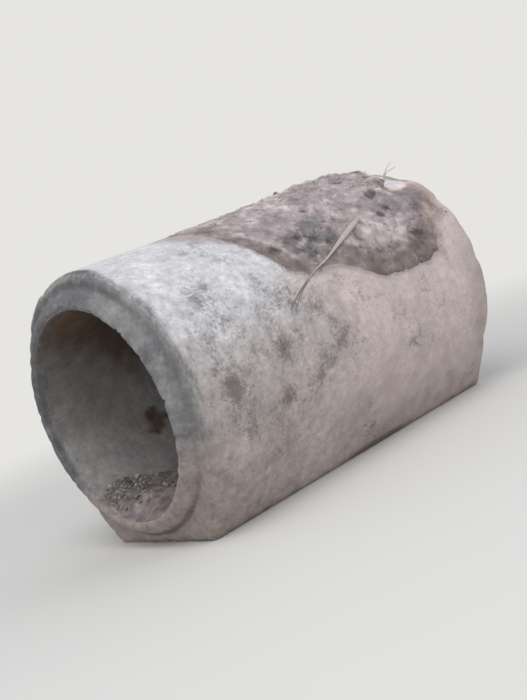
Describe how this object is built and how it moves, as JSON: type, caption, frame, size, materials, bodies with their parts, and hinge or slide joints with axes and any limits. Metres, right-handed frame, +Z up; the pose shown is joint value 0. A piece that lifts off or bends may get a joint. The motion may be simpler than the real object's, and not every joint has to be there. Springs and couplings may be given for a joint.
{
  "type": "concrete sewer pipe",
  "caption": "Precast concrete sewer pipe on a flat foot: round barrel with tangent flanks, straight bore, a tapered tongue at one end and the matching groove in the other.",
  "frame": {"origin": "on the floor, under the middle of the overall length and width (centre of the bottom of the bounding box)", "axes": "+X along the pipe from the tongue to the groove, +Z up from the flat of the foot, +Y across"},
  "size_m": [1, 0.6498, 0.64],
  "materials": {
    "concrete": "cast concrete, weathered and pitted, with soil stains"
  },
  "bodies": {
    "root": {"concrete_pipe": "concrete"}
  },
  "joints": []
}
